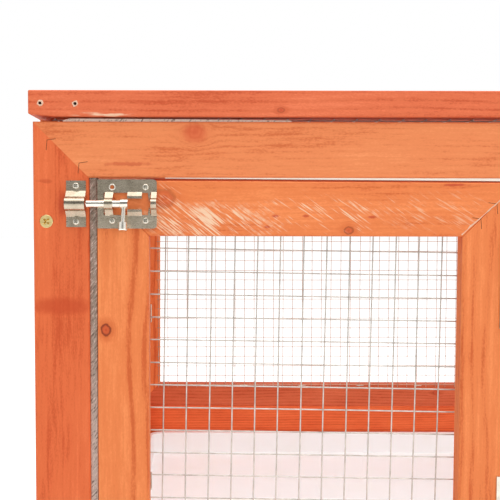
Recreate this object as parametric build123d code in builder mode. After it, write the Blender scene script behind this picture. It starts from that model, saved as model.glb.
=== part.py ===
"""Wooden rabbit cage: stained softwood bars, welded wire nets, a netted lid hinged at the rear,
a netted door with a barrel bolt, and a floor tray that pulls out under the front rail.

Millimetres, +Z up, the front faces -Y. The origin is the bottom centre of the whole object."""
from build123d import *
from math import cos, floor, radians, sin
import os

os.makedirs("parts", exist_ok=True)

# Overall size of the wall frames
cage_w = 900.0
cage_d = 600.0
wall_h = 305.0

# Timber
bar = 30.0
frame_t = 12.0
door_t = 10.0
lid_t = 14.0
arris = 0.8

# Base: side boards that are the feet, a front rail, a rear board and three slats
board_t = 12.0
base_rail_h = 32.0
ground_gap = 9.0
slat_t = 10.0
slat_w = 40.0

# Tray
tray_h = 26.7
tray_wall = 2.0
tray_corner = 16.0
tray_flange = 5.0
tray_draft = 7.0
tray_side_gap = 2.0
tray_front_gap = 1.0
tray_rear_gap = 2.0
tray_top_gap = 2.0
tray_seat_gap = 0.3
lip_w = 160.0
lip_reach = 9.0
lip_drop = 12.0
lip_corner = 6.0

# Lid
lid_gap = 2.5
lid_overhang = 2.0

# Door in its bay, which runs from the left stile to the door post
door_w = 228.0
door_latch_gap = 4.5
door_hinge_gap = 2.0
door_top_gap = 1.5
door_bottom_gap = 2.0

# Nets of welded wire: the door has each wire, the walls every fifth and the lid every sixth
wire = 1.0
mesh = 12.7
wall_step = 5
lid_step = 6
net_lap = 4.0
lid_net_lap = 20.0

# Butt hinges
hinge_len = 50.0
hinge_leaf_w = 8.0
hinge_leaf_t = 1.2
knuckle_r = 2.5
hinge_pin_r = 1.3
pin_play = 0.05
knuckle_play = 0.2
middle_knuckle = 17.0
hinge_hole_pitch = 36.0
door_hinge_inset = 30.0
lid_hinge_inset = 110.0

# Barrel bolt of pressed sheet, its places measured from the plate's left end
sheet_t = 1.0
rod_r = 2.1
rod_lift = 0.7
rod_play = 0.1
bolt_below_top = 44.2
plate_inset = 0.3
plate_len = 32.0
plate_h = 26.5
plate_corner = 2.0
window_start = 3.4
window_half = 6.0
foot_half = 6.4
foot_wall = 1.45
saddle_start = 4.2
saddle_len = 4.4
tab_start = 16.3
tab_len = 7.8
tab_share = 0.75
tooth_start = 27.2
tooth_w = 1.4
tooth_tip_half = 1.3
bridge_len = 3.0
plate_hole_x = (8.0, 26.0)
plate_hole_z = 9.0

# Keeper of the bolt on the left stile
keeper_from_edge = 18.0
keeper_w = 10.6
keeper_h = 25.0
keeper_foot_half = 7.0
keeper_foot_wall = 1.4
keeper_play = 0.8
keeper_hole_z = 9.6

# Rod and lever of the bolt: at rest the rod stands just clear of the keeper
keeper_to_rod = 0.3
rod_tip_chamfer = 0.5
sleeve_start = 12.8
sleeve_len = 3.9
sleeve_r = 2.7
sleeve_end_wall = 0.6
spigot_r = 1.2
spigot_play = 0.05
sleeve_gap = 0.2
stem_r = 1.2
stem_from_end = 1.7
knob_r = 2.5
knob_len = 4.4
knob_chamfer = 0.5
lever_reach = 13.2
lever_tilt = 20.0

# Screws
frame_screw_r = 1.8
frame_head_r = 3.6
frame_screw_len = 25.0
frame_screw_point = 3.0
frame_point_taper = 25.0
frame_screw_from_edge = 7.0
frame_screw_from_end = 53.7
small_screw_r = 1.0
small_head_r = 1.8
small_head_h = 0.8
small_head_taper = 35.0
small_screw_len = 8.0
hole_play = 0.1
screw_sides = 12
hole_sides = 8

# Levels
slat_top = ground_gap + slat_t
tray_z = slat_top + tray_seat_gap
tray_top = tray_z + tray_h
base_rail_z = tray_top + tray_top_gap
wall_z = base_rail_z + base_rail_h
wall_top = wall_z + wall_h
lid_z = wall_top + lid_gap

# Plan of the walls, set so that the origin is the centre of the whole object's box
rod_out = sheet_t + rod_lift + rod_r
tilt = radians(lever_tilt)
knob_rim = lever_reach + knob_len / 2 - knob_chamfer
front_proud = rod_out + knob_rim * sin(tilt) + knob_r * cos(tilt)
rear_proud = 2 * knuckle_r
front_y = -(cage_d + rear_proud - front_proud) / 2
rear_y = front_y + cage_d
left_x = -cage_w / 2
right_x = cage_w / 2
front_in = front_y + frame_t
rear_in = rear_y - frame_t
left_in = left_x + frame_t
right_in = right_x - frame_t

# Plan of the front: the door bay, the door post, then two fixed bays
door_left = left_x + bar + door_latch_gap
door_right = door_left + door_w
door_low = wall_z + bar + door_bottom_gap
door_high = wall_top - bar - door_top_gap
post_x = door_right + door_hinge_gap
bay_left = post_x + bar
bay_right = right_x - bar
middle_post_x = (bay_left + bay_right - bar) / 2
opening_low = wall_z + bar
opening_high = wall_top - bar

# Centres of the hinges' pins
door_pin_x = (door_right + post_x) / 2
door_pin_y = front_y - knuckle_r
door_hinge_z = (door_low + door_hinge_inset + hinge_len / 2, door_high - door_hinge_inset - hinge_len / 2)
lid_pin_y = rear_y + knuckle_r
lid_pin_z = wall_top + lid_gap / 2
lid_hinge_x = (left_x + lid_hinge_inset, right_x - lid_hinge_inset)

# The bolt's axis
bolt_z = wall_top - bolt_below_top
plate_x = door_left + plate_inset
keeper_x = left_x + keeper_from_edge


def facing_front(y):
    """Drawing plane at y, seen from the front: x to the right, y up."""
    return Plane((0, y, 0), x_dir=(1, 0, 0), z_dir=(0, -1, 0))


def facing_rear(y):
    """Drawing plane at y, seen from behind: x towards the cage's left, y up."""
    return Plane((0, y, 0), x_dir=(-1, 0, 0), z_dir=(0, 1, 0))


def facing_left(x):
    """Drawing plane at x, seen from the left: x towards the front, y up."""
    return Plane((x, 0, 0), x_dir=(0, -1, 0), z_dir=(-1, 0, 0))


def facing_right(x):
    """Drawing plane at x, seen from the right: x towards the rear, y up."""
    return Plane((x, 0, 0), x_dir=(0, 1, 0), z_dir=(1, 0, 0))


def finish(piece, label):
    """Name a finished piece and write it out."""
    piece.part.label = label
    export_step(piece.part, f"parts/{label}.step")


def box_corners(x0, y0, x1, y1):
    """Corners of an upright rectangle."""
    return [(x0, y0), (x1, y0), (x1, y1), (x0, y1)]


def mitred_corners(x0, y0, x1, y1):
    """Outlines of a mitred frame's four bars: top, bottom, first side and last side."""
    u0, v0, u1, v1 = x0 + bar, y0 + bar, x1 - bar, y1 - bar
    top = [(x0, y1), (u0, v1), (u1, v1), (x1, y1)]
    bottom = [(x0, y0), (x1, y0), (u1, v0), (u0, v0)]
    first = [(x0, y0), (u0, v0), (u0, v1), (x0, y1)]
    last = [(x1, y0), (x1, y1), (u1, v1), (u1, v0)]
    return top, bottom, first, last


def make_bar(label, plane, corners, thickness, grain, cuts=()):
    """A bar cut to an outline, with its long edges eased and its screw holes cut.

    Each cut is (face, places on it, radius, depth, taper)."""
    with BuildPart() as piece:
        with BuildSketch(plane):
            with BuildLine():
                Polyline(*corners, close=True)
            make_face()
        extrude(amount=thickness)
        chamfer(piece.edges().filter_by(grain), arris)
        for face, places, radius, depth, taper in cuts:
            with BuildSketch(face):
                with Locations(*places):
                    RegularPolygon(radius, hole_sides, major_radius=False)
            extrude(amount=-depth, taper=taper, mode=Mode.SUBTRACT)
    finish(piece, label)


def make_net(label, plane, centre, opening, pitch, lap):
    """A flat net behind an opening: crossed wires in a border that laps the bars round it."""
    across = opening[0] + 2 * lap
    up = opening[1] + 2 * lap
    columns = 2 * floor((across - wire) / 2 / pitch) + 1
    rows = 2 * floor((up - wire) / 2 / pitch) + 1
    with BuildPart() as net:
        with BuildSketch(plane):
            with Locations(centre):
                Rectangle(across, up)
                Rectangle(across - 2 * wire, up - 2 * wire, mode=Mode.SUBTRACT)
                with GridLocations(pitch, pitch, columns, 1):
                    Rectangle(wire, up)
                with GridLocations(pitch, pitch, 1, rows):
                    Rectangle(across, wire)
        extrude(amount=-wire)
    finish(net, label)


def place_screws(label, screw, plane, places):
    """A group of equal screws standing on plane."""
    with BuildPart() as group:
        with Locations(*[plane * Location((u, v, 0)) for u, v in places]):
            add(screw.part)
    finish(group, label)


# Countersunk screw of the frames, its face level with the wood
with BuildPart() as frame_screw:
    with BuildSketch():
        RegularPolygon(frame_head_r, screw_sides)
    extrude(amount=frame_screw_r - frame_head_r, taper=45)
    with BuildSketch(Plane.XY.offset(frame_screw_r - frame_head_r)):
        RegularPolygon(frame_screw_r, screw_sides)
    extrude(amount=frame_head_r - frame_screw_r + frame_screw_point - frame_screw_len)
    with BuildSketch(Plane.XY.offset(frame_screw_point - frame_screw_len)):
        RegularPolygon(frame_screw_r, screw_sides)
    extrude(amount=-frame_screw_point, taper=frame_point_taper)

# Pan-headed screw of the fittings
with BuildPart() as small_screw:
    with BuildSketch():
        RegularPolygon(small_head_r, screw_sides)
    extrude(amount=small_head_h, taper=small_head_taper)
    with BuildSketch():
        RegularPolygon(small_screw_r, hole_sides)
    extrude(amount=-small_screw_len)

pilot_r = small_screw_r + hole_play
frame_pilot_r = frame_screw_r + hole_play
frame_pilot_deep = frame_screw_len - frame_t + hole_play


def pilot_holes(face, places):
    """Cuts for the shanks of small screws."""
    return [(face, places, pilot_r, small_screw_len, 0)]


def countersinks(face, places):
    """Cuts for the frames' screws: a cone for the head and a hole right through."""
    cone = frame_head_r - frame_screw_r
    return [
        (face, places, frame_head_r + hole_play, cone, 45),
        (face, places, frame_pilot_r, frame_t, 0),
    ]


# Places of the screws, as (x, z) on the front or rear face seen from outside
frame_screw_z = (wall_z + frame_screw_from_end, wall_top - frame_screw_from_end)
stile_screw_x = right_x - frame_screw_from_edge
left_screws = [(-stile_screw_x, z) for z in frame_screw_z]
right_screws = [(stile_screw_x, z) for z in frame_screw_z]
leaf_hole = knuckle_r + hinge_leaf_w / 2
hole_steps = (-hinge_hole_pitch / 2, hinge_hole_pitch / 2)
post_hinge_screws = [(door_pin_x + leaf_hole, z + s) for z in door_hinge_z for s in hole_steps]
door_hinge_screws = [(door_pin_x - leaf_hole, z + s) for z in door_hinge_z for s in hole_steps]
rear_hinge_screws = [(s - x, lid_pin_z - leaf_hole) for x in lid_hinge_x for s in hole_steps]
lid_hinge_screws = [(s - x, lid_pin_z + leaf_hole) for x in lid_hinge_x for s in hole_steps]
keeper_mid_x = keeper_x + keeper_w / 2
keeper_screws = [(keeper_mid_x, bolt_z + keeper_hole_z), (keeper_mid_x, bolt_z - keeper_hole_z)]
bolt_holes = [(plate_x + x, bolt_z + z) for x in plate_hole_x for z in (plate_hole_z, -plate_hole_z)]
open_hole, *bolt_screws = bolt_holes


# Front wall: a mitred frame with two posts
front_inner = facing_front(front_in)
front_face = facing_front(front_y)
top, bottom, first, last = mitred_corners(left_x, wall_z, right_x, wall_top)
make_bar("front_top_rail", front_inner, top, frame_t, Axis.X)
make_bar("front_bottom_rail", front_inner, bottom, frame_t, Axis.X)
make_bar("front_left_stile", front_inner, first, frame_t, Axis.Z,
         countersinks(front_face, left_screws) + pilot_holes(front_face, keeper_screws))
make_bar("front_right_stile", front_inner, last, frame_t, Axis.Z, countersinks(front_face, right_screws))
make_bar("front_door_post", front_inner, box_corners(post_x, opening_low, bay_left, opening_high),
         frame_t, Axis.Z, pilot_holes(front_face, post_hinge_screws))
make_bar("front_middle_post", front_inner,
         box_corners(middle_post_x, opening_low, middle_post_x + bar, opening_high), frame_t, Axis.Z)
opening_mid_z = (opening_low + opening_high) / 2
opening_h = opening_high - opening_low
make_net("front_net", front_inner, ((bay_left + bay_right) / 2, opening_mid_z),
         (bay_right - bay_left, opening_h), mesh * wall_step, net_lap)

# Rear wall: a mitred frame with one post, the lid's hinges on its top rail
rear_inner = facing_rear(rear_in)
rear_face = facing_rear(rear_y)
make_bar("rear_top_rail", rear_inner, top, frame_t, Axis.X, pilot_holes(rear_face, rear_hinge_screws))
make_bar("rear_bottom_rail", rear_inner, bottom, frame_t, Axis.X)
make_bar("rear_right_stile", rear_inner, first, frame_t, Axis.Z, countersinks(rear_face, left_screws))
make_bar("rear_left_stile", rear_inner, last, frame_t, Axis.Z, countersinks(rear_face, right_screws))
make_bar("rear_middle_post", rear_inner, box_corners(-bar / 2, opening_low, bar / 2, opening_high),
         frame_t, Axis.Z)
make_net("rear_net", rear_inner, (0, opening_mid_z), (cage_w - 2 * bar, opening_h), mesh * wall_step,
         net_lap)

# Side walls, between the front and the rear, with pilot holes for the screws of both
for side, plane, edge_x, start, end in (
    ("left", facing_left(left_in), -stile_screw_x, -rear_in, -front_in),
    ("right", facing_right(right_in), stile_screw_x, front_in, rear_in),
):
    top, bottom, first, last = mitred_corners(start, wall_z, end, wall_top)
    front_stile, rear_stile = (last, first) if side == "left" else (first, last)
    ends = [(front_inner, edge_x), (rear_inner, -edge_x)]
    from_front, from_rear = (
        [(face, [(u, z) for z in frame_screw_z], frame_pilot_r, frame_pilot_deep, 0)] for face, u in ends
    )
    make_bar(f"{side}_top_rail", plane, top, frame_t, Axis.Y)
    make_bar(f"{side}_bottom_rail", plane, bottom, frame_t, Axis.Y)
    make_bar(f"{side}_front_stile", plane, front_stile, frame_t, Axis.Z, from_front)
    make_bar(f"{side}_rear_stile", plane, rear_stile, frame_t, Axis.Z, from_rear)
    make_net(f"{side}_net", plane, ((start + end) / 2, opening_mid_z),
             (end - start - 2 * bar, opening_h), mesh * wall_step, net_lap)

# Base: the side boards stand on the floor and carry the walls
side_board = box_corners(front_y, 0, rear_y, wall_z)
make_bar("left_base_board", facing_right(left_x), side_board, board_t, Axis.Y)
make_bar("right_base_board", facing_right(right_x - board_t), side_board, board_t, Axis.Y)
board_in = right_x - board_t
make_bar("front_base_rail", front_inner, box_corners(-board_in, base_rail_z, board_in, wall_z),
         frame_t, Axis.X)
make_bar("rear_base_board", rear_inner, box_corners(-board_in, ground_gap, board_in, wall_z),
         frame_t, Axis.X)
slat_starts = {"front": front_y, "middle": (front_y + rear_in - slat_w) / 2, "rear": rear_in - slat_w}
for place, y in slat_starts.items():
    make_bar(f"{place}_floor_slat", Plane.XY.offset(ground_gap),
             box_corners(-board_in, y, board_in, y + slat_w), slat_t, Axis.X)

# Tray: a drawn shell with a flange all round and a turned-down lip to pull it by
tray_w = 2 * (board_in - tray_side_gap)
tray_front = front_y + tray_front_gap
tray_rear = rear_in - tray_rear_gap
tray_d = tray_rear - tray_front
tray_mid_y = (tray_front + tray_rear) / 2
side_h = tray_h - tray_wall
with BuildPart() as tray:
    with BuildSketch(Plane.XY.offset(tray_top - tray_wall)):
        with Locations((0, tray_mid_y)):
            RectangleRounded(tray_w - 2 * tray_flange, tray_d - 2 * tray_flange, tray_corner)
    extrude(amount=-side_h, taper=tray_draft)
    with BuildSketch(Plane.XY.offset(tray_top - tray_wall)):
        with Locations((0, tray_mid_y)):
            RectangleRounded(tray_w, tray_d, tray_corner + tray_flange)
        with Locations((0, tray_front - lip_reach / 2)):
            Rectangle(lip_w, lip_reach)
    extrude(amount=tray_wall)
    with BuildSketch(Plane.XY.offset(tray_top)):
        with Locations((0, tray_mid_y)):
            RectangleRounded(
                tray_w - 2 * (tray_flange + tray_wall),
                tray_d - 2 * (tray_flange + tray_wall),
                tray_corner - tray_wall,
            )
    extrude(amount=tray_wall - tray_h, taper=tray_draft, mode=Mode.SUBTRACT)
    with BuildSketch(facing_front(tray_front - lip_reach)):
        with Locations((0, tray_top - lip_drop / 2)):
            Rectangle(lip_w, lip_drop)
    extrude(amount=-tray_wall)
    lip_corners = tray.edges().filter_by(Axis.Y).group_by(Axis.Y)[0].group_by(Axis.Z)[0]
    fillet(lip_corners, lip_corner)
finish(tray, "tray")

# Lid: long front and rear rails nailed to the ends of three cross rails, net on the underside
lid_x = right_x + lid_overhang
lid_front = front_y - lid_overhang
lid_plane = Plane.XY.offset(lid_z)
make_bar("lid_front_rail", lid_plane, box_corners(-lid_x, lid_front, lid_x, lid_front + bar), lid_t, Axis.X)
make_bar("lid_rear_rail", lid_plane, box_corners(-lid_x, rear_y - bar, lid_x, rear_y), lid_t, Axis.X,
         pilot_holes(rear_face, lid_hinge_screws))
for place, x in {"left": -lid_x, "middle": -bar / 2, "right": lid_x - bar}.items():
    make_bar(f"lid_{place}_rail", lid_plane, box_corners(x, lid_front + bar, x + bar, rear_y - bar),
             lid_t, Axis.Y)
make_net("lid_net", lid_plane, (0, (lid_front + rear_y) / 2),
         (2 * (lid_x - bar), rear_y - lid_front - 2 * bar), mesh * lid_step, lid_net_lap)

# Door: a mitred frame with its net behind
door_plane = facing_front(front_y + door_t)
top, bottom, first, last = mitred_corners(door_left, door_low, door_right, door_high)
bolt_holes_in_wood = pilot_holes(front_face, bolt_screws)
make_bar("door_top_rail", door_plane, top, door_t, Axis.X, bolt_holes_in_wood)
make_bar("door_bottom_rail", door_plane, bottom, door_t, Axis.X)
make_bar("door_left_stile", door_plane, first, door_t, Axis.Z, bolt_holes_in_wood)
make_bar("door_right_stile", door_plane, last, door_t, Axis.Z,
         pilot_holes(front_face, door_hinge_screws))
make_net("door_net", door_plane, ((door_left + door_right) / 2, (door_low + door_high) / 2),
         (door_w - 2 * bar, door_high - door_low - 2 * bar), mesh, net_lap)


def make_leaves(label, planes, side, knuckles):
    """Equal hinge leaves. Each plane stands on a pin's middle, z along the pin and y into the
    wood; side is +1 for the leaf towards the plane's x, and knuckles are its lengths of barrel."""
    back = knuckle_r - hinge_leaf_t / 2
    clear = knuckle_r + knuckle_play
    with BuildPart() as leaves:
        for plane in planes:
            with BuildSketch(plane.offset(-hinge_len / 2)):
                with Locations((side * (clear + leaf_hole_edge) / 2, back)):
                    Rectangle(leaf_hole_edge - clear, hinge_leaf_t)
            extrude(amount=hinge_len)
            for low, high in knuckles:
                with BuildSketch(plane.offset(low)):
                    Circle(knuckle_r)
                    with Locations((side * clear / 2, back)):
                        Rectangle(clear, hinge_leaf_t)
                    Circle(hinge_pin_r + pin_play, mode=Mode.SUBTRACT)
                extrude(amount=high - low)
            back_face = Plane(plane.location * Location((side * leaf_hole, knuckle_r, 0), (90, 0, 0)))
            with BuildSketch(back_face):
                with Locations(*[(0, s) for s in hole_steps]):
                    RegularPolygon(pilot_r, hole_sides, major_radius=False)
            extrude(amount=hinge_leaf_t, mode=Mode.SUBTRACT)
    finish(leaves, label)


def make_pins(label, planes):
    """The pins of a row of hinges, flush with the ends of their barrels."""
    with BuildPart() as pins:
        for plane in planes:
            with BuildSketch(plane.offset(-hinge_len / 2)):
                Circle(hinge_pin_r)
            extrude(amount=hinge_len)
    finish(pins, label)


# Hinges: outer knuckles on the fixed leaf, the middle one on the moving leaf
leaf_hole_edge = knuckle_r + hinge_leaf_w
outer_start = middle_knuckle / 2 + knuckle_play
outer_knuckles = [(-hinge_len / 2, -outer_start), (outer_start, hinge_len / 2)]
inner_knuckle = [(-middle_knuckle / 2, middle_knuckle / 2)]
door_pins = [Plane((door_pin_x, door_pin_y, z), x_dir=(1, 0, 0), z_dir=(0, 0, 1)) for z in door_hinge_z]
lid_pins = [Plane((x, lid_pin_y, lid_pin_z), x_dir=(0, 0, -1), z_dir=(-1, 0, 0)) for x in lid_hinge_x]
make_leaves("door_hinge_frame_leaves", door_pins, 1, outer_knuckles)
make_leaves("door_hinge_door_leaves", door_pins, -1, inner_knuckle)
make_pins("door_hinge_pins", door_pins)
make_leaves("lid_hinge_frame_leaves", lid_pins, 1, outer_knuckles)
make_leaves("lid_hinge_lid_leaves", lid_pins, -1, inner_knuckle)
make_pins("lid_hinge_pins", lid_pins)


def across_bolt(x):
    """Drawing plane across the rod at x: x out of the front, y along the height."""
    return Plane((x, front_y, bolt_z), x_dir=(0, -1, 0), z_dir=(1, 0, 0))


def strap_section(feet, inner_r, foot, wall):
    """Section of a half-round strap over the rod, with slanting legs down to the wood's face.

    feet is how far the flat feet reach to each side, foot is where the legs meet them."""
    outer_r = inner_r + sheet_t
    with BuildSketch() as section:
        with BuildLine():
            Polyline((rod_out, outer_r), (sheet_t, foot), (sheet_t, feet), (0, feet), (0, foot - wall),
                     (rod_out, inner_r))
            ThreePointArc((rod_out, inner_r), (rod_out + inner_r, 0), (rod_out, -inner_r))
            Polyline((rod_out, -inner_r), (0, wall - foot), (0, -feet), (sheet_t, -feet),
                     (sheet_t, -foot), (rod_out, -outer_r))
            ThreePointArc((rod_out, -outer_r), (rod_out + outer_r, 0), (rod_out, outer_r))
        make_face()
    return section.sketch


# Bolt plate: a sheet with a window, two straps over the rod, a pair of tabs and a pair of teeth
bolt_face = Plane((plate_x, front_y, bolt_z), x_dir=(1, 0, 0), z_dir=(0, -1, 0))
strap_feet = window_half + sheet_t
tab_out = rod_out * tab_share
tab_outer = foot_half + (rod_r + rod_play + sheet_t - foot_half) * (tab_out - sheet_t) / (rod_out - sheet_t)
tab_inner = foot_half - foot_wall + (rod_r + rod_play - foot_half + foot_wall) * tab_share
with BuildPart() as bolt_plate:
    with BuildSketch(bolt_face):
        with Locations((plate_len / 2, 0)):
            outline = Rectangle(plate_len, plate_h)
        fillet(outline.vertices().group_by(Axis.X)[-1], plate_corner)
        with Locations(((window_start + plate_len) / 2, 0)):
            Rectangle(plate_len - window_start, 2 * window_half, mode=Mode.SUBTRACT)
        with BuildLine():
            Polyline((tooth_start, window_half), (tooth_start + tooth_w, window_half),
                     (tooth_start + tooth_w / 2, tooth_tip_half), close=True)
        make_face()
        with BuildLine():
            Polyline((tooth_start, -window_half), (tooth_start + tooth_w, -window_half),
                     (tooth_start + tooth_w / 2, -tooth_tip_half), close=True)
        make_face()
        with Locations(*[(x, z) for x in plate_hole_x for z in (plate_hole_z, -plate_hole_z)]):
            RegularPolygon(pilot_r, hole_sides, major_radius=False, mode=Mode.SUBTRACT)
    extrude(amount=sheet_t)
    for start, length in ((saddle_start, saddle_len), (plate_len - bridge_len, bridge_len)):
        with BuildSketch(across_bolt(plate_x + start)):
            add(strap_section(strap_feet, rod_r + rod_play, foot_half, foot_wall))
        extrude(amount=length)
    with BuildSketch(across_bolt(plate_x + tab_start)):
        for s in (1, -1):
            with BuildLine():
                Polyline((0, s * strap_feet), (sheet_t, s * strap_feet), (sheet_t, s * foot_half),
                         (tab_out, s * tab_outer), (tab_out, s * tab_inner), (0, s * (foot_half - foot_wall)),
                         close=True)
            make_face()
    extrude(amount=tab_len)
finish(bolt_plate, "bolt_plate")

# Keeper: one wide strap with flat feet
with BuildPart() as bolt_keeper:
    with BuildSketch(across_bolt(keeper_x)):
        add(strap_section(keeper_h / 2, rod_r + keeper_play, keeper_foot_half, keeper_foot_wall))
    extrude(amount=keeper_w)
    with BuildSketch(front_face):
        with Locations(*keeper_screws):
            RegularPolygon(pilot_r, hole_sides, major_radius=False)
    extrude(amount=sheet_t, mode=Mode.SUBTRACT)
finish(bolt_keeper, "bolt_keeper")

# Rod: round bar with a thinner spigot that turns in the lever's sleeve
rod_tip = keeper_x + keeper_w + keeper_to_rod
rod_end = plate_x + sleeve_start - sleeve_gap
sleeve_x = plate_x + sleeve_start
sleeve_bore = sleeve_len - sleeve_end_wall
rod_axis = Plane((0, front_y - rod_out, bolt_z), x_dir=(0, -1, 0), z_dir=(1, 0, 0))
with BuildPart() as bolt_rod:
    with BuildSketch(rod_axis.offset(rod_tip)):
        Circle(rod_r)
    extrude(amount=rod_end - rod_tip)
    chamfer(bolt_rod.edges().sort_by(Axis.X)[0], rod_tip_chamfer)
    with BuildSketch(rod_axis.offset(rod_end)):
        Circle(spigot_r)
    extrude(amount=sleeve_gap + sleeve_bore - spigot_play)
finish(bolt_rod, "bolt_rod")

# Lever: sleeve on the rod's end, stem and knob
lever_x = sleeve_x + stem_from_end
lever_axis = Plane((lever_x, front_y - rod_out, bolt_z), x_dir=(1, 0, 0), z_dir=(0, -sin(tilt), -cos(tilt)))
with BuildPart() as bolt_lever:
    with BuildSketch(rod_axis.offset(sleeve_x)):
        Circle(sleeve_r)
    extrude(amount=sleeve_len)
    with BuildSketch(lever_axis.offset((spigot_r + sleeve_r) / 2)):
        Circle(stem_r)
    extrude(amount=lever_reach - (spigot_r + sleeve_r) / 2)
    with BuildSketch(lever_axis.offset(lever_reach - knob_len / 2)):
        Circle(knob_r)
    extrude(amount=knob_len)
    down_lever = Axis(lever_axis.origin, lever_axis.z_dir)
    chamfer(bolt_lever.edges().filter_by(GeomType.CIRCLE).sort_by(down_lever)[-1], knob_chamfer)
    with BuildSketch(rod_axis.offset(sleeve_x)):
        Circle(spigot_r + spigot_play)
    extrude(amount=sleeve_bore, mode=Mode.SUBTRACT)
finish(bolt_lever, "bolt_lever")

# Screws, grouped by the body that they hold
all_frame_screws = left_screws + right_screws
place_screws("frame_screws", frame_screw, front_face, all_frame_screws)
place_screws("rear_frame_screws", frame_screw, rear_face, all_frame_screws)
place_screws("keeper_screws", small_screw, front_face.offset(sheet_t), keeper_screws)
place_screws("bolt_screws", small_screw, front_face.offset(sheet_t), bolt_screws)
place_screws("post_hinge_screws", small_screw, front_face.offset(hinge_leaf_t), post_hinge_screws)
place_screws("door_hinge_screws", small_screw, front_face.offset(hinge_leaf_t), door_hinge_screws)
place_screws("rear_hinge_screws", small_screw, rear_face.offset(hinge_leaf_t), rear_hinge_screws)
place_screws("lid_hinge_screws", small_screw, rear_face.offset(hinge_leaf_t), lid_hinge_screws)
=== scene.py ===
"""Wooden rabbit cage, dressed: stained and knotted pine, welded wire nets, screws and nails,
a pressed steel barrel bolt, steel hinges and a white tray."""
import math
import random

import bmesh
import bpy
from mathutils import Matrix, Vector, noise


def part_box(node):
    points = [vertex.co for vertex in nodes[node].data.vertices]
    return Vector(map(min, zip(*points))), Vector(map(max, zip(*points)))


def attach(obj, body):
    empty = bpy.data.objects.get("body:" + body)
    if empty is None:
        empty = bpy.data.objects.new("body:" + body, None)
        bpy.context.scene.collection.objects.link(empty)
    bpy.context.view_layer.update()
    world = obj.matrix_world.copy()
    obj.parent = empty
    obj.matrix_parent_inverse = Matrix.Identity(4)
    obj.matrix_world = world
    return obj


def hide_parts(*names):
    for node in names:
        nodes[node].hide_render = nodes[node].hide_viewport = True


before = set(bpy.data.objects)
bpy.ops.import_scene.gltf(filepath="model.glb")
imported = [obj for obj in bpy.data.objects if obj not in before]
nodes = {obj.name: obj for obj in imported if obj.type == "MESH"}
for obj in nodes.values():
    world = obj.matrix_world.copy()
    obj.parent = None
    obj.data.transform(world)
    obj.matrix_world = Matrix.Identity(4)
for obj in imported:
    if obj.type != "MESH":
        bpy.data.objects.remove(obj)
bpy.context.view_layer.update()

MM = 0.001
X, Y, Z = Vector((1, 0, 0)), Vector((0, 1, 0)), Vector((0, 0, 1))

# Levels that the pieces share, read from the solids
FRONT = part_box("front_top_rail")[0].y
DOOR_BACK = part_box("door_left_stile")[1].y
LID_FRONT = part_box("lid_front_rail")[0].y
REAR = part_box("rear_top_rail")[1].y
BOLT_Z = sum(v.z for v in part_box("bolt_plate")) / 2

# Camera of the photograph: where it stands, how it tilts, and its focal length in pixels
FRAME_PX = 500
FOCAL_PX = 756.7
AXIS_PX = (209.0, 250.0)
SENSOR = 36.0
EYE = Vector((-0.355, FRONT - 0.4093, 0.3356))
TILT = math.radians(90 - 2.74)
ROLL = math.radians(0.124)
LOOK = Matrix.Rotation(TILT, 3, "X") @ Matrix.Rotation(ROLL, 3, "Z")

# Places in the photograph, in pixels across and down
DOOR_WELD_PX = (165.6, 248.3)
HEAD_LEFT_PX, HEAD_RIGHT_PX = (100, 180.2), (500, 182.8)
HEAD_START_PX = (100, 180)
STILE_EDGE_PX = (148.9, 240)
LID_FELT_PX = ((62, 120), (292, 120))
LATH_START_PX = (165, 179)
MITRE_FILL_PX = ((461.5, 235.0), (504.0, 197.0))
LID_NAILS_PX = ((40.0, 103.0), (75.0, 103.6))
FRAME_WEDGES_PX = ((47, 140), (79, 163))
DOOR_WEDGES_PX = ((481, 219), (497, 204))
TOP_RAIL_KNOT_PX, TOP_RAIL_STREAK_PX, TOP_RAIL_STAIN_PX = (195, 132), (127, 164), (195, 133)
# KEEPER_SHADOW_PX is the middle of a painted shadow of the bolt on the left stile, by the keeper
LEFT_STILE_STAIN_PX, LEFT_STILE_SMEAR_PX, KEEPER_SHADOW_PX = (62, 306), (45, 181), (62, 203)
DOOR_STILE_KNOT_PX = (106, 330)
DOOR_HEAD_KNOTS_PX = ((164, 198), (349, 230.5))
DOOR_HEAD_FLECKS_PX = ((275, 216), (306, 216), (372, 217), (267, 227), (455, 185))
DOOR_HEAD_SCUFFS_PX = ((205, 222), (168, 200), (445, 213), (320, 216), (420, 210))
LID_KNOT_PX, LID_SCUFF_PX = (281, 110), (100, 116)


def at_pixel(u, v, y=FRONT):
    """The point of the upright plane y that the photograph shows at pixel (u, v)."""
    ray = LOOK @ Vector(((u - AXIS_PX[0]) / FOCAL_PX, (AXIS_PX[1] - v) / FOCAL_PX, -1))
    return EYE + ray * ((y - EYE.y) / ray.y)


def set_camera():
    """The camera of the photograph, shifted because the photograph is a crop."""
    data = bpy.data.cameras.new("camera")
    camera = bpy.data.objects.new("camera", data)
    bpy.context.scene.collection.objects.link(camera)
    camera.matrix_world = Matrix.Translation(EYE) @ LOOK.to_4x4()
    data.sensor_width = SENSOR
    data.lens = FOCAL_PX / FRAME_PX * SENSOR
    data.shift_x = (FRAME_PX / 2 - AXIS_PX[0]) / FRAME_PX
    bpy.context.scene.camera = camera


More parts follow.
